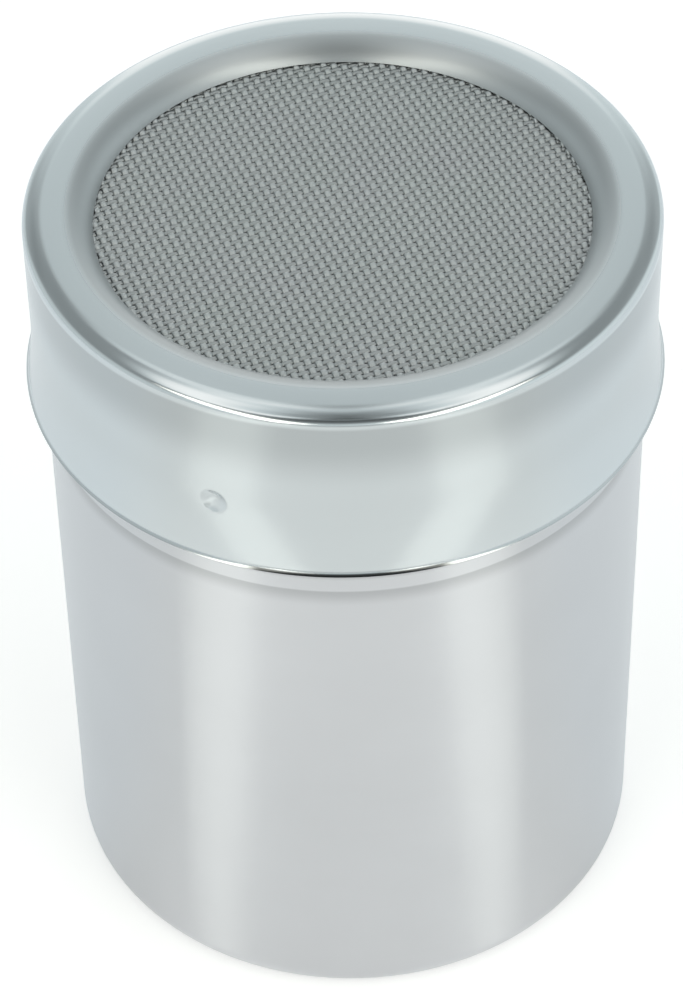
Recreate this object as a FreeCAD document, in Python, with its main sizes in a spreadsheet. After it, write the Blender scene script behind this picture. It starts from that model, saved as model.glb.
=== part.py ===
# Mesh-top shaker: a drawn steel cup and a push-on lid that holds a woven wire screen.
# The origin is the centre of the cup's underside, +Z is up, and lengths are in millimetres.
import FreeCAD, Part
import math
import os
import Sketcher

# Driving sizes: alias, value, what it measures
SIZES = [
    ("cup_diameter", 68.0, "outside of the cup's straight wall"),
    ("cup_height", 90.6, "from the underside to the mouth, which stands inside the lid"),
    ("cup_wall", 0.6, "sheet thickness of the cup"),
    ("cup_corner", 2.6, "outside radius between the cup's floor and wall"),
    ("lid_wall", 0.5, "sheet thickness of the lid shell"),
    ("lid_overlap", 18.5, "how far the skirt hangs below the cup's mouth"),
    ("skirt_clearance", 0.5, "radial gap between the cup's wall and the skirt"),
    ("flare_width", 0.68, "how far the skirt curves out above its lip"),
    ("flare_rise", 8.0, "height of that curve"),
    ("lip_radius", 1.15, "tighter bend of the lip along the skirt's lower edge"),
    ("lip_angle", 45.0, "degrees that the lip's end leans out from upright"),
    ("shoulder_radius", 1.0, "tight bend at the top of the skirt"),
    ("crown_radius", 4.3, "wide bend between the tight bend and the level top"),
    ("crown_angle", 25.0, "degrees of turn in the wide bend"),
    ("top_flat", 2.19, "width of the lid's level top, between its two bends"),
    ("roll_radius", 3.35, "rolled inner edge that bends down from the level top"),
    ("roll_angle", 64.5, "degrees of turn in the rolled edge, which ends on the screen"),
    ("pip_count", 3, "pips pressed into the skirt"),
    ("pip_rise", 7.8, "from the skirt's lower edge to a pip's middle"),
    ("pip_radius", 1.2, "dimple that a pip leaves on the skirt's outside"),
    ("pip_clearance", 0.08, "running gap between a pip's tip and the cup's wall"),
    ("pip_turn", 6.0, "degrees from +X to the first pip"),
    ("ring_wall", 0.5, "sheet thickness of the clamp ring"),
    ("ring_setback", 0.3, "how far the clamp ring stays outside the opening"),
    ("ring_rim", 1.4, "height of the clamp ring's upright rim over its flange"),
    ("ring_clearance", 0.03, "push fit between the clamp ring and the skirt"),
    ("wire_diameter", 0.44, "wire of the woven screen"),
    ("warp_pitch", 1.02, "spacing of the wires that run front to back"),
    ("weft_pitch", 0.73, "spacing of the wires that run side to side"),
    ("wires_per_bar", 3, "woven wires that one bar of the net stands for"),
    ("screen_margin", 0.5, "gap between the screen's edge and the ring's upright rim"),
    ("weave_turn", 21.25, "degrees that the weave is turned from the front view"),
]

UPWARD = FreeCAD.Vector(0, 0, 1)

# Places worked out from the sizes, as expressions
CUP_OUTSIDE = "sizes.cup_diameter / 2"
CUP_INSIDE = f"{CUP_OUTSIDE} - sizes.cup_wall"
SKIRT_INSIDE = f"{CUP_OUTSIDE} + sizes.skirt_clearance"
SKIRT_OUTSIDE = f"{SKIRT_INSIDE} + sizes.lid_wall"
CROWN_SINE = "sin(sizes.crown_angle * 1 deg)"
CROWN_COSINE = "cos(sizes.crown_angle * 1 deg)"
SHOULDER_CENTRE = f"{SKIRT_OUTSIDE} - sizes.shoulder_radius"
CROWN_CENTRE = f"{SHOULDER_CENTRE} + (sizes.shoulder_radius - sizes.crown_radius) * {CROWN_SINE}"
ROLL_CENTRE = f"{CROWN_CENTRE} - sizes.top_flat"
ROLL_SINE = "sin(sizes.roll_angle * 1 deg)"
ROLL_COSINE = "cos(sizes.roll_angle * 1 deg)"
OPENING = f"{ROLL_CENTRE} - sizes.roll_radius * {ROLL_SINE}"
SCREEN_THICKNESS = "2 * sizes.wire_diameter"
SKIRT_BOTTOM = "sizes.cup_height - sizes.lid_overlap"
SCREEN_BOTTOM = "sizes.cup_height + sizes.ring_wall"
RING_RIM_INSIDE = f"{SKIRT_INSIDE} - sizes.ring_clearance - sizes.ring_wall"


def fill_sheet(document):
    """Write the driving sizes into a sheet, one row each."""
    sheet = document.addObject("Spreadsheet::Sheet", "sizes")
    for row, (alias, value, meaning) in enumerate(SIZES, start=1):
        sheet.set(f"A{row}", alias)
        sheet.set(f"B{row}", str(value))
        sheet.set(f"C{row}", meaning)
        sheet.setAlias(f"B{row}", alias)
    document.recompute()
    return sheet


def measure(expression):
    """Return the number that an expression on the sheet gives."""
    return float(doc.sizes.evalExpression(expression))


def add_body(name, turn=None, rise=None):
    """Make a named body, turned about Z and lifted by expressions."""
    body = doc.addObject("PartDesign::Body", name)
    body.Label = name
    place(body, turn, rise)
    return body


def place(part, turn=None, rise=None):
    """Bind a part's turn about Z and its height to the sheet."""
    part.Placement = FreeCAD.Placement(FreeCAD.Vector(), FreeCAD.Rotation(UPWARD, 1))
    part.setExpression("Placement.Rotation.Angle", f"({turn or 0}) * 1 deg")
    part.setExpression("Placement.Base.z", rise or "0")


def origin_feature(body, role):
    """Return one of the body's own origin planes or axes."""
    return next(feature for feature in body.Origin.OriginFeatures if feature.Role == role)


def add_sketch(body, name):
    """Attach an empty sketch to the body's own upright plane."""
    sketch = body.newObject("Sketcher::SketchObject", name)
    sketch.AttachmentSupport = [(origin_feature(body, "XZ_Plane"), "")]
    sketch.MapMode = "FlatFace"
    return sketch


def bind_point(sketch, edge, end, across, up):
    """Hold one end of an edge at a place given by two expressions."""
    for kind, axis, expression in (("DistanceX", -2, across), ("DistanceY", -1, up)):
        distance = measure(expression)
        if abs(distance) < 1e-9:
            sketch.addConstraint(Sketcher.Constraint("PointOnObject", edge, end, axis))
            continue
        index = sketch.addConstraint(Sketcher.Constraint(kind, -1, 1, edge, end, distance))
        sketch.setExpression(f"Constraints[{index}]", expression)


def arc_between(start, end, radius, turn):
    """Return the arc, under half a circle, that turns left (1) or right (-1) from start to end."""
    chord = end - start
    middle = (start + end) * 0.5
    offset = math.sqrt(max(radius ** 2 - (chord.Length / 2) ** 2, 0.0))
    side = FreeCAD.Vector(-chord.y, chord.x, 0).normalize() * turn
    centre = middle + side * offset
    first, last = (start, end) if turn > 0 else (end, start)
    angles = [math.atan2(point.y - centre.y, point.x - centre.x) for point in (first, last)]
    return Part.ArcOfCircle(Part.Circle(centre, UPWARD, radius), *angles)


def draw_outline(sketch, corners, arcs):
    """Close an outline through corners; arcs maps a side's number to its radius and turn."""
    points = [FreeCAD.Vector(measure(across), measure(up), 0) for across, up in corners]
    ends = []
    for number, start in enumerate(points):
        end = points[(number + 1) % len(points)]
        if number not in arcs:
            edge = sketch.addGeometry(Part.LineSegment(start, end))
            ends.append((edge, 1, 2))
            continue
        radius, turn = arcs[number]
        edge = sketch.addGeometry(arc_between(start, end, measure(radius), turn))
        ends.append((edge, 1, 2) if turn > 0 else (edge, 2, 1))
    for number, (edge, first, last) in enumerate(ends):
        following, begin, _ = ends[(number + 1) % len(ends)]
        sketch.addConstraint(Sketcher.Constraint("Coincident", edge, last, following, begin))
        bind_point(sketch, edge, first, *corners[number])
        if number in arcs:
            radius = arcs[number][0]
            index = sketch.addConstraint(Sketcher.Constraint("Radius", edge, measure(radius)))
            sketch.setExpression(f"Constraints[{index}]", radius)


def add_turned(body, name, corners, arcs, feature="PartDesign::Revolution", axis_height=None):
    """Turn an outline about the body's Z axis, or about a level line at axis_height."""
    sketch = add_sketch(body, f"{name}_outline")
    draw_outline(sketch, corners, arcs)
    axis = "V_Axis"
    if axis_height:
        level = FreeCAD.Vector(0, measure(axis_height), 0)
        edge = sketch.addGeometry(Part.LineSegment(level, level + FreeCAD.Vector(1, 0, 0)), True)
        sketch.addConstraint(Sketcher.Constraint("Horizontal", edge))
        bind_point(sketch, edge, 1, "0", axis_height)
        sketch.addConstraint(Sketcher.Constraint("DistanceX", edge, 1, edge, 2, 1.0))
        axis = "Axis0"
    turned = body.newObject(feature, name)
    turned.Profile = sketch
    turned.ReferenceAxis = (sketch, [axis])
    turned.Angle = 360
    doc.recompute()
    return turned


def make_cup():
    """The drawn cup: a flat floor, a rounded corner and a straight wall to the mouth."""
    body = add_body("cup")
    corner_centre = f"{CUP_OUTSIDE} - sizes.cup_corner"
    corners = [
        ("0", "0"),
        (corner_centre, "0"),
        (CUP_OUTSIDE, "sizes.cup_corner"),
        (CUP_OUTSIDE, "sizes.cup_height"),
        (CUP_INSIDE, "sizes.cup_height"),
        (CUP_INSIDE, "sizes.cup_corner"),
        (corner_centre, "sizes.cup_wall"),
        ("0", "sizes.cup_wall"),
    ]
    arcs = {
        1: ("sizes.cup_corner", 1),
        5: ("sizes.cup_corner - sizes.cup_wall", -1),
    }
    add_turned(body, "cup_wall_and_floor", corners, arcs)
    return body


def make_lid_shell():
    """The pressed lid: lipped skirt, rounded shoulder, level top, rolled inner edge and pips.

    Its own height is measured from the outer edge of the lip.
    """
    body = add_body("lid_shell", turn="sizes.pip_turn", rise=SKIRT_BOTTOM)
    wall = "sizes.lid_wall"
    roll_inside = f"(sizes.roll_radius - {wall})"
    screen_top = f"sizes.lid_overlap + sizes.ring_wall + {SCREEN_THICKNESS}"
    crest = f"{screen_top} + sizes.roll_radius - {roll_inside} * {ROLL_COSINE}"
    crown_drop = f"sizes.crown_radius * (1 - {CROWN_COSINE}) + sizes.shoulder_radius * {CROWN_COSINE}"
    shoulder_rise = f"{crest} - ({crown_drop})"
    flare_radius = "(sizes.flare_rise ^ 2 + sizes.flare_width ^ 2) / (2 * sizes.flare_width)"
    flare_sine = f"sizes.flare_rise / ({flare_radius})"
    flare_cosine = f"(1 - sizes.flare_width / ({flare_radius}))"
    lip_sine = "sin(sizes.lip_angle * 1 deg)"
    lip_cosine = "cos(sizes.lip_angle * 1 deg)"
    lip_top = f"{SKIRT_OUTSIDE} + sizes.flare_width"
    lip_rise = f"sizes.lip_radius * ({lip_sine} - {flare_sine})"
    lip_edge = f"{lip_top} + sizes.lip_radius * ({flare_cosine} - {lip_cosine})"
    flare_top = f"{lip_rise} + sizes.flare_rise"

    def bend(depth):
        """Where the wide bend meets the tight one, at a depth below the outer face."""
        across = f"{SHOULDER_CENTRE} + (sizes.shoulder_radius - {depth}) * {CROWN_SINE}"
        return across, f"{shoulder_rise} + (sizes.shoulder_radius - {depth}) * {CROWN_COSINE}"

    corners = [
        (lip_edge, "0"),
        (lip_top, lip_rise),
        (SKIRT_OUTSIDE, flare_top),
        (SKIRT_OUTSIDE, shoulder_rise),
        bend("0"),
        (CROWN_CENTRE, crest),
        (ROLL_CENTRE, crest),
        (OPENING, f"{screen_top} + {wall} * {ROLL_COSINE}"),
        (f"{ROLL_CENTRE} - {roll_inside} * {ROLL_SINE}", screen_top),
        (ROLL_CENTRE, f"{crest} - {wall}"),
        (CROWN_CENTRE, f"{crest} - {wall}"),
        bend(wall),
        (SKIRT_INSIDE, shoulder_rise),
        (SKIRT_INSIDE, flare_top),
        (f"{lip_top} - {wall} * {flare_cosine}", f"{lip_rise} - {wall} * {flare_sine}"),
        (f"{lip_edge} - {wall} * {lip_cosine}", f"0 - {wall} * {lip_sine}"),
    ]
    arcs = {
        0: ("sizes.lip_radius", -1),
        1: (flare_radius, -1),
        3: ("sizes.shoulder_radius", 1),
        4: ("sizes.crown_radius", 1),
        6: ("sizes.roll_radius", 1),
        8: (roll_inside, -1),
        10: (f"sizes.crown_radius - {wall}", -1),
        11: (f"sizes.shoulder_radius - {wall}", -1),
        13: (f"{flare_radius} + {wall}", 1),
        14: (f"sizes.lip_radius + {wall}", 1),
    }
    add_turned(body, "pressed_sheet", corners, arcs)

    # A pip is a dimple with a bump of the same sheet thickness behind it, both round the same centre
    depth = "(sizes.skirt_clearance - sizes.pip_clearance)"
    dimple_radius = f"(sizes.pip_radius ^ 2 + {depth} ^ 2) / (2 * {depth})"
    bump_radius = f"{dimple_radius} + {wall}"
    bump_tip = f"{CUP_OUTSIDE} + sizes.pip_clearance"
    centre = f"{bump_tip} + {bump_radius}"
    face = f"{SKIRT_INSIDE} + {wall} / 2"
    bump_half = f"sqrt(({bump_radius}) ^ 2 - ({centre} - ({face})) ^ 2)"
    bump_corners = [
        (bump_tip, "sizes.pip_rise"),
        (face, "sizes.pip_rise"),
        (face, f"sizes.pip_rise + {bump_half}"),
    ]
    bump = add_turned(body, "pip_bump", bump_corners, {2: (bump_radius, 1)}, axis_height="sizes.pip_rise")
    mouth = f"{SKIRT_OUTSIDE} + {depth} / 2"
    dimple_half = f"sqrt(({dimple_radius}) ^ 2 - ({centre} - ({mouth})) ^ 2)"
    dimple_corners = [
        (f"{bump_tip} + {wall}", "sizes.pip_rise"),
        (mouth, "sizes.pip_rise"),
        (mouth, f"sizes.pip_rise + {dimple_half}"),
    ]
    dimple = add_turned(
        body, "pip_dimple", dimple_corners, {2: (dimple_radius, 1)}, "PartDesign::Groove", "sizes.pip_rise"
    )
    pips = body.newObject("PartDesign::PolarPattern", "pips")
    pips.Originals = [bump, dimple]
    pips.Axis = (origin_feature(body, "Z_Axis"), [""])
    pips.Angle = 360
    pips.setExpression("Occurrences", "sizes.pip_count")
    body.Tip = pips
    return body


def make_clamp_ring():
    """The ring inside the lid: a flange under the screen's edge and an upright rim in the skirt."""
    body = add_body("clamp_ring", rise="sizes.cup_height")
    inside = f"{OPENING} + sizes.ring_setback"
    outside = f"{SKIRT_INSIDE} - sizes.ring_clearance"
    top = "sizes.ring_wall + sizes.ring_rim"
    corners = [
        (inside, "0"),
        (f"{outside} - sizes.ring_wall", "0"),
        (outside, "sizes.ring_wall"),
        (outside, top),
        (RING_RIM_INSIDE, top),
        (RING_RIM_INSIDE, "sizes.ring_wall"),
        (inside, "sizes.ring_wall"),
    ]
    add_turned(body, "flange_and_rim", corners, {1: ("sizes.ring_wall", 1)})
    return body


def make_mesh_screen():
    """The wire screen as a flat net: bars in two directions with whole gaps inside the opening.

    Each bar and each gap is as wide as several wires and gaps of the weave side by side, so the net
    keeps the weave's open share. Bars along the opening's edge stay whole.
    """
    wire = measure("sizes.wire_diameter")
    bundle = measure("sizes.wires_per_bar")
    pitches = [bundle * measure("sizes.warp_pitch"), bundle * measure("sizes.weft_pitch")]
    bar = bundle * wire
    half_gap_across, half_gap_up = ((pitch - bar) / 2 for pitch in pitches)
    reach = measure(OPENING) - bar
    disc_radius = measure(f"{RING_RIM_INSIDE} - sizes.screen_margin")
    outlines = [Part.Wire(Part.makeCircle(disc_radius))]
    columns, rows = (int(reach / pitch) + 1 for pitch in pitches)
    for column in range(-columns, columns + 1):
        for row in range(-rows, rows + 1):
            across, up = column * pitches[0], row * pitches[1]
            if math.hypot(abs(across) + half_gap_across, abs(up) + half_gap_up) > reach:
                continue
            low, high = up - half_gap_up, up + half_gap_up
            left, right = across - half_gap_across, across + half_gap_across
            corners = [(left, low), (right, low), (right, high), (left, high), (left, low)]
            outlines.append(Part.makePolygon([FreeCAD.Vector(*corner) for corner in corners]))
    print("mesh_screen gaps:", len(outlines) - 1)
    net = Part.makeFace(outlines, "Part::FaceMakerBullseye")
    screen = doc.addObject("Part::Feature", "mesh_screen")
    screen.Label = "mesh_screen"
    screen.Shape = net.extrude(FreeCAD.Vector(0, 0, measure(SCREEN_THICKNESS)))
    place(screen, turn="sizes.weave_turn", rise=SCREEN_BOTTOM)
    return screen


def check(parts):
    """Stop if any object failed to build or any part has no valid solid."""
    failed = [item.Name for item in doc.Objects if {"Invalid", "Error"} & set(item.State)]
    if failed:
        raise RuntimeError(f"these objects failed: {failed}")
    for part in parts:
        shape = part.Shape
        if shape.isNull() or not shape.isValid() or len(shape.Solids) != 1:
            raise RuntimeError(f"{part.Label} is not one valid solid")
        print(f"{part.Label}: one valid solid of {shape.Volume:.1f} mm3")


doc = FreeCAD.newDocument("mesh_shaker")
fill_sheet(doc)
parts = [make_cup(), make_lid_shell(), make_clamp_ring(), make_mesh_screen()]
doc.recompute()
check(parts)
os.makedirs("parts", exist_ok=True)
for part in parts:
    part.Shape.exportStep(f"parts/{part.Label}.step")
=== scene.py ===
# %% [markdown]
# # A steel shaker with a woven wire top
#
# The real object is a small kitchen shaker: a drawn steel cup, and a push-on lid whose rolled
# ring holds a fine wire screen. Its shape comes from an engineering model, which arrives here as
# a fixed frame. This lesson dresses that frame: it weaves the screen wire by wire, finishes
# each piece of steel, and lights it like a studio picture on white.

import math

import bpy
from mathutils import Matrix, Vector


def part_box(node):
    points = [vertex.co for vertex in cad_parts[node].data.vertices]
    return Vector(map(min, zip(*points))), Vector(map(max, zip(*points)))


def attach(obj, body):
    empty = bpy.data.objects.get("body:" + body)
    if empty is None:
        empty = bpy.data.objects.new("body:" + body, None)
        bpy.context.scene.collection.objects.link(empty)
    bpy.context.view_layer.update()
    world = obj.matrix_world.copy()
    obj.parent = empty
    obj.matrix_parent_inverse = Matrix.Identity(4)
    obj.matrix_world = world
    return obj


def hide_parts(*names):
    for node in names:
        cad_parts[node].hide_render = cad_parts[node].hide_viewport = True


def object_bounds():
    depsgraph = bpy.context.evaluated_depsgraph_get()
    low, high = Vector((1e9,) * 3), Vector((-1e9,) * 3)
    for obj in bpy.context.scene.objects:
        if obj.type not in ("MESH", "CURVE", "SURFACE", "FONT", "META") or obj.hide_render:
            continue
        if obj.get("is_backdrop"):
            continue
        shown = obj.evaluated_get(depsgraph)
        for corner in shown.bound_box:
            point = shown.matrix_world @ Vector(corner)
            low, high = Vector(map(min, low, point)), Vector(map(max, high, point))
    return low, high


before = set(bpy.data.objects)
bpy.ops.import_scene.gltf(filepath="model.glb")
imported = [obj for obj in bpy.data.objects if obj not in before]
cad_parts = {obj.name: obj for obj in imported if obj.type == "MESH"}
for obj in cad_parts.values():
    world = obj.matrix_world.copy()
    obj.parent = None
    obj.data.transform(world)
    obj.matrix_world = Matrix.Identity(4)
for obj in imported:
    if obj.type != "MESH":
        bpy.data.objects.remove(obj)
CAD_BOX = [list(corner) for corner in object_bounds()]
print("nodes in the frame:", sorted(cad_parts))
print("box in metres:", [[round(value, 4) for value in corner] for corner in CAD_BOX])

# %% [markdown]
# ## Camera
#
# The picture was taken with a long lens from about 44 degrees above the table. A long lens
# keeps the ellipses of the rim and the base nearly alike, so distance and lens are set together.
# The camera's three axes are built by hand from its look direction and a small roll, which
# says more plainly where it points than Euler angles would.

# %% Place the camera
TILT = 0.7718
TARGET_HEIGHT = 0.0488
DISTANCE = 0.43606
PAN = -0.0018
ROLL = -0.0213
LENS = 134.14

ahead = Vector((0, math.cos(TILT), -math.sin(TILT)))
look = (ahead * math.cos(PAN) + Vector((math.sin(PAN), 0, 0))).normalized()
level_right = look.cross(Vector((0, 0, 1))).normalized()
level_up = level_right.cross(look)
right = level_right * math.cos(ROLL) + level_up * math.sin(ROLL)
up = level_up * math.cos(ROLL) - level_right * math.sin(ROLL)
stand = Vector((0, 0, TARGET_HEIGHT)) - ahead * DISTANCE

camera_data = bpy.data.cameras.new("studio_camera")
camera_data.lens = LENS
camera_data.sensor_width = 36
camera = bpy.data.objects.new("studio_camera", camera_data)
bpy.context.collection.objects.link(camera)
bpy.context.scene.camera = camera
camera.matrix_world = Matrix.Translation(stand) @ Matrix((right, up, -look)).transposed().to_4x4()
print("camera stands at", [round(value, 4) for value in stand])

# %% [markdown]
# ## Writing shaders as sums
#
# A material's nodes are easier to read as expressions such as `0.3 + 0.1 * grain` than as a page
# of links. The small class below wraps one output socket and turns Python's operators into
# Math nodes, or Vector Math nodes where the socket carries a vector. The second class holds a
# node tree and has the one method that adds any other node: its settings go in first, because
# they can change which sockets the node has.

# %% Signals and recipes
class Signal:
    """An output socket that can be used in sums."""

    def __init__(self, recipe, socket):
        self.recipe = recipe
        self.socket = socket

    def _join(self, operation, first, second):
        kind = "VectorMath" if self.socket.type == "VECTOR" else "Math"
        return self.recipe.add(kind, {"operation": operation}, {0: first, 1: second})

    def __add__(self, other):
        return self._join("ADD", self, other)

    def __radd__(self, other):
        return self._join("ADD", other, self)

    def __sub__(self, other):
        return self._join("SUBTRACT", self, other)

    def __rsub__(self, other):
        return self._join("SUBTRACT", other, self)

    def __mul__(self, other):
        return self._join("MULTIPLY", self, other)

    def __rmul__(self, other):
        return self._join("MULTIPLY", other, self)

    def __truediv__(self, other):
        return self._join("DIVIDE", self, other)

    def __pow__(self, other):
        return self._join("POWER", self, other)


class Recipe:
    """A node tree, with one way to add a node to it."""

    def __init__(self, tree):
        self.tree = tree
        self.tree.nodes.clear()

    def add(self, kind, settings=None, inputs=None, output=0):
        node = self.tree.nodes.new("ShaderNode" + kind)
        for name, value in (settings or {}).items():
            if name == "stops":
                self._set_stops(node.color_ramp, value)
            else:
                setattr(node, name, value)
        for name, value in (inputs or {}).items():
            self.feed(node.inputs[name], value)
        return Signal(self, node.outputs[output]) if node.outputs else node

    def feed(self, socket, value):
        if isinstance(value, Signal):
            self.tree.links.new(value.socket, socket)
        else:
            socket.default_value = value

    def _set_stops(self, ramp, stops):
        while len(ramp.elements) < len(stops):
            ramp.elements.new(1.0)
        for element, (position, grey) in zip(ramp.elements, stops):
            element.position = position
            element.color = (grey, grey, grey, 1) if isinstance(grey, (int, float)) else (*grey, 1)

    def between(self, value, low, high):
        """A smooth step from 0 at low to 1 at high."""
        settings = {"interpolation_type": "SMOOTHSTEP"}
        inputs = {"Value": value, "From Min": low, "From Max": high}
        return self.add("MapRange", settings, inputs)

    def blend(self, share, first, second):
        """A colour that goes from first to second as share goes from 0 to 1."""
        inputs = {"Factor": share, 6: first, 7: second}
        return self.add("Mix", {"data_type": "RGBA"}, inputs, output=2)

    def split(self, vector, axes="XYZ"):
        """The parts of a vector along the named axes."""
        return [self.add("SeparateXYZ", inputs={0: vector}, output=axis) for axis in axes]


print("signals and recipes are ready")

# %% [markdown]
# ## The studio round the object
#
# Polished steel has no look of its own: it shows the room. The room here is a pale tent. Seen
# from the object it is white near the table, grey half way up, has a bright ring of light high
# up, and is dark straight above and round the camera. The world's Generated coordinate
# is the direction of each ray, so its height is the sine of the elevation. The ramp gives the
# brightness at each height, and a few soft sectors then correct it. The left is a little duller, the
# side of the camera is darker above the table, and the backdrop behind the object is brighter. The
# ring of light has a gap in front and behind, a low bright patch stands at each side of the gap
# behind, and an arc at each side of the backdrop is duller.

# %% Paint the tent
world = bpy.data.worlds.new("tent")
bpy.context.scene.world = world
world.use_nodes = True
tent = Recipe(world.node_tree)
direction = tent.add("TexCoord", output="Generated")
across, deep, height = tent.split(direction)

TENT_STOPS = [
    (0.00, 0.50), (0.20, 0.50), (0.45, 0.46), (0.58, 0.30), (0.68, 0.2), (0.83, 0.20), (0.865, 0.40),
    (0.89, 0.72), (0.93, 0.80), (0.955, 0.68), (0.98, 0.42), (0.992, 0.20), (1.00, 0.16),
]
TENT_LIGHT = 2.0
LEFT_DIMMING, FRONT_DARKENING = 0.12, 0.6
BACKDROP_GLOW, BACKDROP_FALL = 0.58, 0.34
RING_GAP_DEPTH, SIDE_ARC_DEPTH, LOW_PATCH_GLOW = 0.5, 0.38, 0.9
NEVER_ZERO = 0.0001

level = TENT_LIGHT * tent.add("ValToRGB", {"stops": TENT_STOPS}, {"Fac": height})
flat = (across * across + deep * deep + NEVER_ZERO) ** 0.5
towards_camera = (0 - deep) / flat
leftward = (0 - across) / flat
sideways = (across * across) ** 0.5 / flat

level = level * (1 - LEFT_DIMMING * leftward * tent.between(height, 0.8, 0.5))
camera_side = tent.between(towards_camera, 0.78, 0.97)
level = level * (1 - FRONT_DARKENING * camera_side * tent.between(height, 0.1, 0.5))
backdrop = tent.between(towards_camera, -0.955, -0.985) * tent.between(height, 0.9, 0.7)
level = level + (BACKDROP_GLOW - BACKDROP_FALL * height) * backdrop
ring_gap = tent.between(sideways, 0.6, 0.25) * tent.between(height, 0.74, 0.84)
level = level * (1 - RING_GAP_DEPTH * ring_gap)
side_arc = tent.between(sideways, 0.3, 0.5) * tent.between(sideways, 0.85, 0.68)
side_arc = side_arc * tent.between(height, 0.18, 0.34) * tent.between(height, 0.68, 0.56)
level = level * (1 - SIDE_ARC_DEPTH * side_arc * tent.between(towards_camera, -0.2, -0.6))
low_patch = tent.between(sideways, 0.02, 0.1) * tent.between(sideways, 0.44, 0.3)
low_patch = low_patch * tent.between(height, 0.7, 0.8) * tent.between(height, 0.95, 0.86)
level = level + LOW_PATCH_GLOW * low_patch * tent.between(towards_camera, -0.5, -0.8)

to_camera = tent.add("LightPath", output="Is Camera Ray")
warmth = tent.between(level, 1.0, 1.5)
tint = tent.blend(warmth, (0.92, 0.995, 1.0, 1), (1.0, 0.99, 0.965, 1))
room = tent.add("Background", inputs={"Color": tint, "Strength": level})
white = tent.add("Background", inputs={"Color": (1, 1, 1, 1), "Strength": 1.0})
seen = tent.add("MixShader", inputs={0: to_camera, 1: room, 2: white})
tent.add("OutputWorld", inputs={"Surface": seen})
print("tent brightness runs over", len(TENT_STOPS), "heights")

# %% [markdown]
# ## Two softboxes
#
# Two tall softboxes of a slightly warm white stand in front, left and right of the camera. They make
# the glints on the rim and, through a table that is a little glossy, the upright bright strips on the
# cup. An area lamp is the plainest softbox, and its power is worked out from the brightness that its
# face should have, so its size can change without a change in how bright it looks.

# %% Stand the softboxes
SOFTBOX_SIZE = (0.26, 1.2)
SOFTBOX_DISTANCE = 0.8
SOFTBOX_RADIANCE = 2.9
SOFTBOX_COLOUR = (1.0, 0.955, 0.85)


def stand_softbox(name, azimuth):
    """Stand an upright rectangle of light on the table, facing the object."""
    width, height = SOFTBOX_SIZE
    lamp = bpy.data.lights.new(name, "AREA")
    lamp.shape = "RECTANGLE"
    lamp.size = width
    lamp.size_y = height
    lamp.energy = SOFTBOX_RADIANCE * math.pi * width * height
    lamp.color = SOFTBOX_COLOUR
    stand = bpy.data.objects.new(name, lamp)
    bpy.context.collection.objects.link(stand)
    angle = math.radians(azimuth)
    stand.location = (
        SOFTBOX_DISTANCE * math.cos(angle),
        SOFTBOX_DISTANCE * math.sin(angle),
        height / 2,
    )
    facing = Vector((-math.cos(angle), -math.sin(angle), 0))
    stand.rotation_euler = facing.to_track_quat("-Z", "Z").to_euler()
    stand.visible_camera = False
    return stand


for name, azimuth in (("left_softbox", 228.5), ("right_softbox", 311.5)):
    softbox = stand_softbox(name, azimuth)
    print(name, "at", [round(value, 2) for value in softbox.location])

# %% [markdown]
# ## A white table
#
# The table is white to the camera and in the steel, and still keeps a soft shadow, because only part
# of its brightness is emission. In the steel it is brighter near the object's front and, away from
# the object, at its sides, where it is also a little blue. It is duller far in front, where the real
# one ends. A thin share of gloss shows the softboxes in it. Light Path tells the rays that come from
# the camera and from shiny surfaces apart, which is fair for a floor but never for the object itself.

# %% Lay the table
TABLE_SIZE = 6
CAMERA_GLOW, STEEL_GLOW, FRONT_GLOW, BEYOND_GLOW, SHADE_DEPTH = 0.34, 0.22, 0.11, 0.1, 0.14
GLOSS_SHARE = 0.09
SIDE_TINT = (0.88, 0.985, 1.1, 1)


def new_finish(name):
    """A new material, and the recipe of its nodes."""
    material = bpy.data.materials.new(name)
    material.use_nodes = True
    return material, Recipe(material.node_tree)


bpy.ops.mesh.primitive_plane_add(size=TABLE_SIZE)
table = bpy.context.object
table.name = "white_table"
table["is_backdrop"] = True
table_paint, paint = new_finish("white_table")
camera_ray = paint.add("LightPath", output="Is Camera Ray")
glossy_ray = paint.add("LightPath", output="Is Glossy Ray")
aside, away = paint.split(paint.add("TexCoord", output="Object"), "XY")
reach = (aside * aside + away * away + 0.000001) ** 0.5
frontward = (0 - away) / reach
shade = glossy_ray * paint.between(frontward, 0.84, 0.94) * paint.between(reach, 0.2, 0.4)
white = paint.blend(shade, (0.88, 0.88, 0.88, 1), (0.46, 0.47, 0.48, 1))
matt = paint.add("BsdfDiffuse", inputs={"Color": white})
beyond = paint.between(reach, 0.1, 0.125) * paint.between(frontward, 0.8, 0.4)
in_front = paint.between(frontward, 0.5, 0.85)
in_steel = STEEL_GLOW + FRONT_GLOW * in_front + BEYOND_GLOW * beyond - SHADE_DEPTH * shade
strength = camera_ray * CAMERA_GLOW + glossy_ray * in_steel
beside = glossy_ray * paint.between(frontward, 0.7, 0.1)
glow_tint = paint.blend(beside, (1, 1, 1, 1), SIDE_TINT)
glow = paint.add("Emission", inputs={"Color": glow_tint, "Strength": strength})
both = paint.add("AddShader", inputs={0: matt, 1: glow})
gloss = paint.add("BsdfGlossy", inputs={"Color": (0.92, 0.98, 1, 1), "Roughness": 0.06})
polished = paint.add("MixShader", inputs={0: glossy_ray * GLOSS_SHARE, 1: both, 2: gloss})
paint.add("OutputMaterial", inputs={"Surface": polished})
table.data.materials.append(table_paint)
print("table is", round(table.dimensions.x, 1), "m wide")

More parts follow.
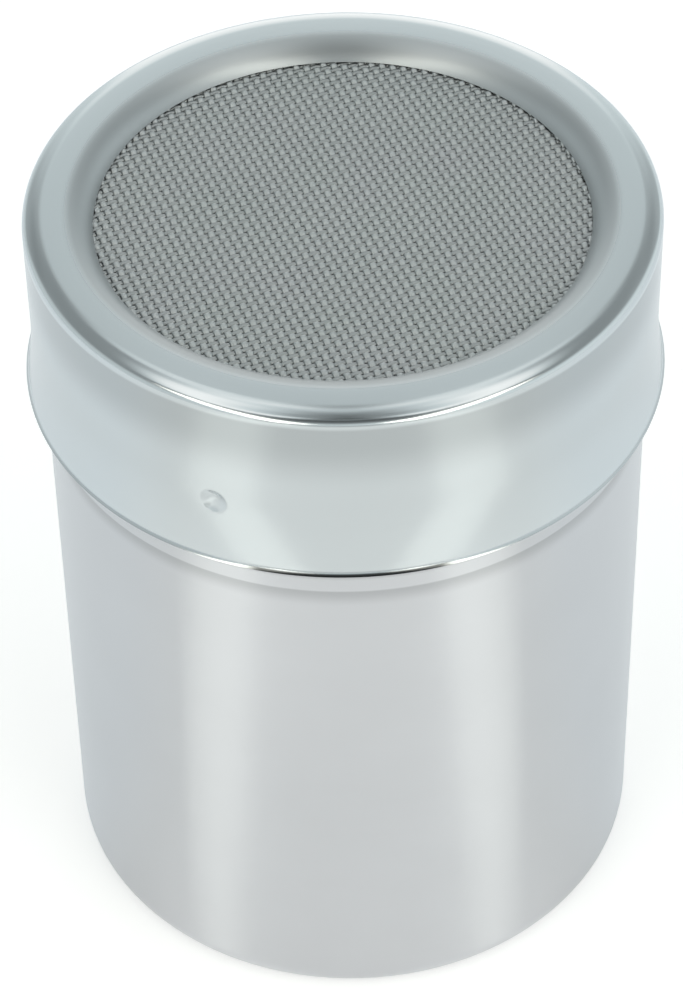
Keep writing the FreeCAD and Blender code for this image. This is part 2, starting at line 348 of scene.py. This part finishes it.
# %% [markdown]
# ## Satin steel
#
# The cup and the lid are turned against fine abrasive, so hair-fine lines run round them. Such
# lines spread a reflection up and down but not sideways. An anisotropic shader gives that spread,
# and a noise that is slow along the line and fast across it gives the lines themselves. The
# noise has four dimensions: place along the wall, height, and radius, so the same lines wrap
# the wall, the rim and the flat top without a seam. The lid's roll is left duller than the rest,
# because a polishing wheel can't reach into it.
#
# Darker level rings are painted on the steel. Most are painted shade: just under the lid's edge, a
# shadow line a little lower, and the top of the skirt; the lid's raw cut edge is darker steel that is
# also painted darker as shade. Each is four numbers: the height where it starts, the height where it
# is full, its share of the clean steel's brightness, and the sector that it keeps to, where FRONT is
# the narrow sector under the lid's front and ALL_ROUND is the whole turn. They are laid in order, so a
# ring of unshaded steel can end the one before it.

# %% Turned steel
ALONG_LINES, ACROSS_LINES = 55, 5200
ALL_ROUND, FRONT = -2.0, 0.945


def shaded(colour, share):
    """A colour at a share of its brightness, with full alpha."""
    return (*(min(1.0, value * share) for value in colour), 1)


def turned_steel(name, colour, rough_low, rough_high, spread, line_depth, shade_and_tone_rings=(), dull_ring=None):
    """Steel with turned lines round the upright axis; rough_low and rough_high bound its roughness.

    A dull ring is the radius where it starts, the radius where it is full, its roughness and its
    share of the brightness.
    """
    material, recipe = new_finish(name)
    place = recipe.add("TexCoord", output="Object")
    x, y, z = recipe.split(place)
    radius = (x * x + y * y) ** 0.5
    stretched = {"X": x * ALONG_LINES, "Y": y * ALONG_LINES, "Z": z * ACROSS_LINES}
    along = recipe.add("CombineXYZ", inputs=stretched)
    fine = {"Vector": along, "W": radius * ACROSS_LINES, "Scale": 1.0, "Detail": 3.0, "Roughness": 0.6}
    lines = recipe.add("TexNoise", {"noise_dimensions": "4D"}, fine)
    patches = recipe.add("TexNoise", inputs={"Vector": place, "Scale": 70.0, "Detail": 3.0})
    smears = recipe.add("TexNoise", inputs={"Vector": place, "Scale": 320.0, "Detail": 4.0})
    rough = rough_low + (rough_high - rough_low) * (0.5 * patches + 0.2 * smears + 0.3 * lines)
    tone = recipe.blend(0.55 * patches + 0.45 * lines, shaded(colour, 0.94), shaded(colour, 1.05))
    frontward = (0 - y) / radius
    # Lay the darker rings, most of them painted shade, over the steel's tone.
    for start, full, share, sector in shade_and_tone_rings:
        in_ring = recipe.between(z, start, full) * recipe.between(frontward, sector, sector + 0.02)
        tone = recipe.blend(in_ring, tone, shaded(colour, share))
    if dull_ring:
        start, full, roughness, share = dull_ring
        dulled = recipe.between(radius, start, full)
        rough = rough + dulled * (roughness - rough)
        tone = recipe.blend(dulled, tone, shaded(colour, share))
    relief = recipe.add("Bump", inputs={"Height": lines, "Strength": line_depth, "Distance": 0.00002})
    shader = recipe.add(
        "BsdfPrincipled",
        inputs={
            "Base Color": tone,
            "Metallic": 1.0,
            "Roughness": rough,
            "Anisotropic": spread,
            "Anisotropic Rotation": 0.25,
            "Normal": relief,
        },
    )
    recipe.add("OutputMaterial", inputs={"Surface": shader})
    return material


def dress(node, material):
    """Give a node of the frame one material all over."""
    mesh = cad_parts[node].data
    mesh.materials.clear()
    mesh.materials.append(material)
    print(node, "is finished in", material.name, "over", len(mesh.polygons), "faces")


# Painted shade on the cup: the steel is darker just under the lid's edge, and a soft painted shadow line
# lies a little lower, with unshaded steel between them.
SHADE_UNDER_LID = (0.0695, 0.0704, 0.62, ALL_ROUND)
SHADOW_LINE_BELOW_LID = (0.0655, 0.0678, 0.76, ALL_ROUND)
UNSHADED_ABOVE_LINE = (0.0678, 0.0680, 1.0, ALL_ROUND)
cup_steel = turned_steel(
    "cup_steel", (0.58, 0.59, 0.61), 0.13, 0.19, 0.8, 0.3, (SHADOW_LINE_BELOW_LID, UNSHADED_ABOVE_LINE, SHADE_UNDER_LID)
)
dress("cup", cup_steel)
dress("clamp_ring", turned_steel("ring_steel", (0.55, 0.555, 0.56), 0.25, 0.4, 0.5, 0.3))

# %% [markdown]
# ## The lid as a finely turned sheet
#
# The frame's lid is cut into facets, and a bend that is only a millimetre wide shows them as steps in
# its highlights. So the lid is turned again from the same sizes: its section is a chain of lines
# and arcs, and each point of the chain becomes a ring. Each arc is named by its centre, its
# radius and the angles where it starts and ends, as on a drawing. The rings and the steps round
# them are closer together near the three pips, where the sheet is pushed in.

# %% The lid's sizes and section, in millimetres
MM = 0.001
LID_BASE = 72.1
WALL = 0.5
SKIRT = 34.995
LIP_RADIUS, LIP_ANGLE = 1.15, 45.0
FLARE_WIDTH, FLARE_RISE = 0.68, 8.0
CREST = 22.003
SHOULDER, CROWN, CROWN_ANGLE = 1.0, 4.3, 25.0
TOP_FLAT, ROLL, SCREEN_TOP = 2.19, 3.35, 19.88
PIP_RISE, PIP_RADIUS, PIP_DEPTH = 7.8, 1.6, 0.42
PIP_TURNS = (6, 126, 246)

flare_radius = (FLARE_RISE ** 2 + FLARE_WIDTH ** 2) / (2 * FLARE_WIDTH)
flare_angle = math.degrees(math.asin(FLARE_RISE / flare_radius))


def on_arc(centre, radius, angle):
    """A point of an arc, as its distance from the axis and its height."""
    turn = math.radians(angle)
    return centre[0] + radius * math.cos(turn), centre[1] + radius * math.sin(turn)


def arc(centre, radius, first, last, step=5.0):
    """Points along an arc, both ends included."""
    count = max(2, math.ceil(abs(last - first) / step))
    return [on_arc(centre, radius, first + (last - first) * part / count) for part in range(count + 1)]


lip_rise = LIP_RADIUS * (math.sin(math.radians(LIP_ANGLE)) - math.sin(math.radians(flare_angle)))
flare_centre = (SKIRT + flare_radius, lip_rise + FLARE_RISE)
lip_top = (SKIRT + FLARE_WIDTH, lip_rise)
lip_centre = on_arc(lip_top, LIP_RADIUS, flare_angle)
crown_reach = (SHOULDER - CROWN) * math.sin(math.radians(CROWN_ANGLE))
crown_centre = (SKIRT - SHOULDER + crown_reach, CREST - CROWN)
shoulder_centre = on_arc(crown_centre, CROWN - SHOULDER, 90 - CROWN_ANGLE)
roll_centre = (crown_centre[0] - TOP_FLAT, CREST - ROLL)


def screen_angle(radius):
    """The angle above level at which an arc round the roll's centre meets the screen's upper face."""
    return math.degrees(math.asin((SCREEN_TOP - roll_centre[1]) / radius))


def lid_face(depth):
    """One face of the lid's sheet, from the lip over the shoulder to the roll, at a depth in the sheet."""
    return (
        arc(lip_centre, LIP_RADIUS + depth, 180 + LIP_ANGLE, 180 + flare_angle)
        + arc(flare_centre, flare_radius + depth, 180 + flare_angle, 180, 1.0)
        + arc(shoulder_centre, SHOULDER - depth, 0, 90 - CROWN_ANGLE)
        + arc(crown_centre, CROWN - depth, 90 - CROWN_ANGLE, 90, 2.5)
        + arc(roll_centre, ROLL - depth, 90, 180 - screen_angle(ROLL - depth), 4.0)
    )


section = lid_face(0) + lid_face(WALL)[::-1]
print("the lid's section has", len(section), "points")


# %% [markdown]
# ## Turning the sheet, with its pips
#
# A lathe turns a section about an axis. Here each step of the turn adds one copy of the section, and
# faces join it to the next copy. A screw modifier would do the same, but it can't press pips into
# the wall, and here each point can be moved on the way. A pip is a shallow round dimple that grips
# the cup. It needs closer points than the plain wall, so rings and steps are added only round the
# three pips, which keeps the rest of the sheet light.

# %% Turn a section into a sheet
STEPS_ROUND = 480
PIP_STEP, PIP_STEPS = 0.2, 14
PIP_RING, PIP_RINGS = 0.14, 12
SHARP_EDGE = 40


def close_up(section, levels):
    """Add a point to a section wherever one of its sides passes a level."""
    closer = []
    for number, point in enumerate(section):
        after = section[(number + 1) % len(section)]
        if math.dist(point, after) < 1e-6:
            continue
        closer.append(point)
        rise = after[1] - point[1]
        for level in levels if rise > 0 else levels[::-1]:
            if min(point[1], after[1]) < level < max(point[1], after[1]):
                closer.append((point[0] + (after[0] - point[0]) * (level - point[1]) / rise, level))
    return closer


def pressed_in(angle, height):
    """How far the pips push the sheet in, in millimetres, at an angle and a height."""
    for turn in PIP_TURNS:
        across = SKIRT * math.radians((angle - turn + 180) % 360 - 180)
        reach = math.hypot(across, height - PIP_RISE) / PIP_RADIUS
        if reach < 1:
            return PIP_DEPTH * (1 - reach ** 2) ** 1.2
    return 0.0


def add_piece(name, points, faces):
    """A new piece with a smooth mesh of its own, in the scene."""
    mesh = bpy.data.meshes.new(name)
    mesh.from_pydata(points, [], faces)
    mesh.shade_smooth()
    piece = bpy.data.objects.new(name, mesh)
    bpy.context.collection.objects.link(piece)
    return piece


def turn_sheet(name, section, angles, base):
    """Turn a section about the upright axis into a closed, smooth sheet."""
    points, faces = [], []
    for angle in angles:
        turn = math.radians(angle)
        for radius, height in section:
            out = radius - (pressed_in(angle, height) if radius > SKIRT - 1 else 0)
            points.append((out * math.cos(turn) * MM, out * math.sin(turn) * MM, (base + height) * MM))
    rings, steps = len(section), len(angles)
    for step in range(steps):
        following = (step + 1) % steps
        for ring in range(rings):
            above = (ring + 1) % rings
            corners = (step, ring), (following, ring), (following, above), (step, above)
            faces.append([place * rings + level for place, level in corners])
    sheet = add_piece(name, points, faces)
    sheet.data.set_sharp_from_angle(angle=math.radians(SHARP_EDGE))
    return sheet


near_pips = {turn + part * PIP_STEP for turn in PIP_TURNS for part in range(-PIP_STEPS, PIP_STEPS + 1)}
all_round = {part * 360 / STEPS_ROUND for part in range(STEPS_ROUND)}
angles = sorted({round(angle % 360, 2) for angle in near_pips | all_round})
section = close_up(section, [PIP_RISE + part * PIP_RING for part in range(-PIP_RINGS, PIP_RINGS + 1)])
lid_sheet = turn_sheet("lid_sheet", section, angles, LID_BASE)
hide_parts("lid_shell")
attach(lid_sheet, "lid")
print("lid sheet has", len(section), "rings of", len(angles), "steps")
print("lid sheet has", len(lid_sheet.data.polygons), "faces")

# %% [markdown]
# ## The lid's finish
#
# The lid is the same turned steel. A band of painted shade darkens the top of the skirt below the
# bend, and the unshaded edge of the bend comes after it. Its cut lower edge is raw and painted a
# little darker all round, partly as shade, and nearly black at the front as a painted shadow of the gap
# where the lid stands a little off the cup. The last four numbers dull the roll.

# %% Finish the lid
# Painted shade on the lid: a darker band at the top of the skirt, a raw edge painted darker all round, and
# a nearly black painted shadow under the lid's front edge.
RAW_EDGE_AND_SHADE = (0.0725, 0.0723, 0.8, ALL_ROUND)
GAP_SHADOW_FRONT = (0.0725, 0.0723, 0.12, FRONT)
SKIRT_TOP_SHADE = (0.0835, 0.0905, 0.76, ALL_ROUND)
UNSHADED_BEND = (0.0923, 0.0928, 1.0, ALL_ROUND)
SATIN_ROLL = (0.0308, 0.0295, 0.43, 0.77)
lid_sheet.data.materials.append(
    turned_steel(
        "lid_steel", (0.56, 0.595, 0.61), 0.13, 0.2, 0.6, 0.2,
        (SKIRT_TOP_SHADE, UNSHADED_BEND, RAW_EDGE_AND_SHADE, GAP_SHADOW_FRONT), SATIN_ROLL,
    )
)
print("lid sheet is finished in", lid_sheet.data.materials[0].name)

# %% [markdown]
# ## Weaving the screen
#
# The frame holds the screen as a flat net with coarse bars, which is all that collisions need. The real
# screen is a plain weave: every wire passes over one wire and under the next. A wire is a thin tube along
# a wave, and its neighbour runs half a wave later. Building each tube straight into one mesh
# keeps thousands of crossings light. Wires are pressed flat where they cross, so each has a width
# and a height. The warp bends over and under the weft, which stays nearly straight.

# %% Weave sizes
WARP_WIRE = (0.00085, 0.0004)
WEFT_WIRE = (0.00069, 0.0004)
WARP_PITCH = 0.001018
WEFT_PITCH = 0.000728
WEAVE_TURN = math.radians(21.25)
WEAVE_REACH = 0.0285
low_corner, high_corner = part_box("mesh_screen")
SCREEN_MIDDLE = (low_corner[2] + high_corner[2]) / 2
EDGE_ROOM = 0.0002
SCREEN_REACH = (high_corner[0] - low_corner[0]) / 2 - EDGE_ROOM
WARP_WAVE = (high_corner[2] - low_corner[2] - WARP_WIRE[1]) / 2
WEFT_WAVE = 0.00007
WARP_PARTS, WEFT_PARTS = 4, 2
print("screen lies", round(SCREEN_MIDDLE * 1000, 2), "mm up, warp waves", round(WARP_WAVE * 1000, 2), "mm")


# %% One wire as a tube
def wire_path(offset, pitch, wave, parts):
    """Points along a wire and its height: a wave where it shows, and a level end in the clamp."""
    reach = math.sqrt(SCREEN_REACH ** 2 - offset ** 2)
    woven = math.sqrt(max(WEAVE_REACH ** 2 - offset ** 2, 0.0))
    last = int(woven / pitch) * parts
    path = [(-reach, 0.0)]
    for step in range(-last - parts // 2, last + parts // 2 + 1):
        path.append((step * pitch / parts, wave * math.cos(math.pi * step / parts)))
    path.append((reach, 0.0))
    return path


def add_tube(points, faces, path, wire, place, sides=6):
    """Add a closed tube along a path; wire is its width and height, and place turns the distances
    along, across and up into a point."""
    first = len(points)
    width, thickness = wire
    for number, (along, height) in enumerate(path):
        before = path[max(number - 1, 0)]
        after = path[min(number + 1, len(path) - 1)]
        slope = math.atan2(after[1] - before[1], after[0] - before[0])
        for side in range(sides):
            turn = 2 * math.pi * side / sides
            out = width / 2 * math.cos(turn)
            rise = thickness / 2 * math.sin(turn)
            points.append(place(along - rise * math.sin(slope), out, height + rise * math.cos(slope)))
    for ring in range(len(path) - 1):
        for side in range(sides):
            corner = first + ring * sides + side
            beside = first + ring * sides + (side + 1) % sides
            faces.append((corner, corner + sides, beside + sides, beside))
    faces.append(tuple(range(first, first + sides)))
    faces.append(tuple(first + len(path) * sides - 1 - side for side in range(sides)))


middle_wire = wire_path(0.0, WEFT_PITCH, WARP_WAVE, WARP_PARTS)
print("a warp wire has", len(middle_wire), "rings at the middle of the screen")


# %% [markdown]
# ## Both directions of wire
#
# All warp wires are one piece and all weft wires another, so each direction can have its own tone: the
# weft is painted darker, as shade where it lies lower in the weave.
# Every other wire of a direction starts its wave upside down, which makes the plain weave. The two
# pieces together stand for the frame's flat net, and ride on the lid.

# %% Lay every wire
def weave(name, turn, wire, own_pitch, crossed_pitch, wave, parts):
    """Lay all wires of one direction as one piece; turn is the direction that they run in."""
    along_x, along_y = math.cos(turn), math.sin(turn)
    count = int(SCREEN_REACH / own_pitch)
    points, faces = [], []
    for number in range(-count, count + 1):
        offset = number * own_pitch
        own_wave = wave if number % 2 == 0 else -wave

        def place(along, across, height, offset=offset):
            sideways = offset + across
            x = along * along_x - sideways * along_y
            y = along * along_y + sideways * along_x
            return (x, y, SCREEN_MIDDLE + height)

        add_tube(points, faces, wire_path(offset, crossed_pitch, own_wave, parts), wire, place)
    wires = add_piece(name, points, faces)
    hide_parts("mesh_screen")
    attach(wires, "lid")
    print(name, "has", 2 * count + 1, "wires in", len(faces), "faces")
    return wires


across_warp = WEAVE_TURN + math.pi / 2
warp_wires = weave("warp_wires", across_warp, WARP_WIRE, WARP_PITCH, WEFT_PITCH, WARP_WAVE, WARP_PARTS)
weft_wires = weave("weft_wires", WEAVE_TURN, WEFT_WIRE, WEFT_PITCH, WARP_PITCH, -WEFT_WAVE, WEFT_PARTS)

# %% [markdown]
# ## Wire finish
#
# Drawn wire is a little darker and rougher than polished sheet. The weft wires, which lie lower in the
# weave, are painted darker as shade. Noises from a single wire to a few dozen wires in scale vary its
# tone, from a cold to a warm grey, and its roughness.

# %% Drawn wire
COLD_GREY, WARM_GREY, PALE_GREY = (0.44, 0.48, 0.475), (0.46, 0.468, 0.495), (0.53, 0.56, 0.56)


def drawn_wire(name, share):
    """Drawn steel wire, a little stained; share is painted shade that dims the wires which lie deeper in
    the weave.
    """
    material, recipe = new_finish(name)
    place = recipe.add("TexCoord", output="Object")
    grain = recipe.add("TexNoise", inputs={"Vector": place, "Scale": 900.0, "Detail": 2.0})
    clouds = recipe.add("TexNoise", inputs={"Vector": place, "Scale": 90.0, "Detail": 3.0})
    stain = recipe.add("TexNoise", inputs={"Vector": place, "Scale": 150.0, "Detail": 1.0})
    dull = recipe.blend(stain, shaded(COLD_GREY, share), shaded(WARM_GREY, share))
    tone = recipe.blend(0.5 * grain + 0.5 * clouds, dull, shaded(PALE_GREY, share))
    inputs = {"Base Color": tone, "Metallic": 1.0, "Roughness": 0.42 + 0.2 * grain}
    recipe.add("OutputMaterial", inputs={"Surface": recipe.add("BsdfPrincipled", inputs=inputs)})
    return material


warp_wires.data.materials.append(drawn_wire("warp_wire", 1.0))
# The weft is painted darker than the warp, as shade where it lies lower in the weave.
weft_wires.data.materials.append(drawn_wire("weft_wire", 0.78))
print("both directions of wire are finished")

# %% [markdown]
# ## Close the lesson
#
# The dressed model must be the size of the engineering model, so both boxes are printed.

# %% Write the sizes and finish
scene = bpy.context.scene
scene.view_settings.view_transform = "Standard"
made_box = [list(corner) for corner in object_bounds()]
print("visual box:", [[round(value, 4) for value in corner] for corner in made_box])
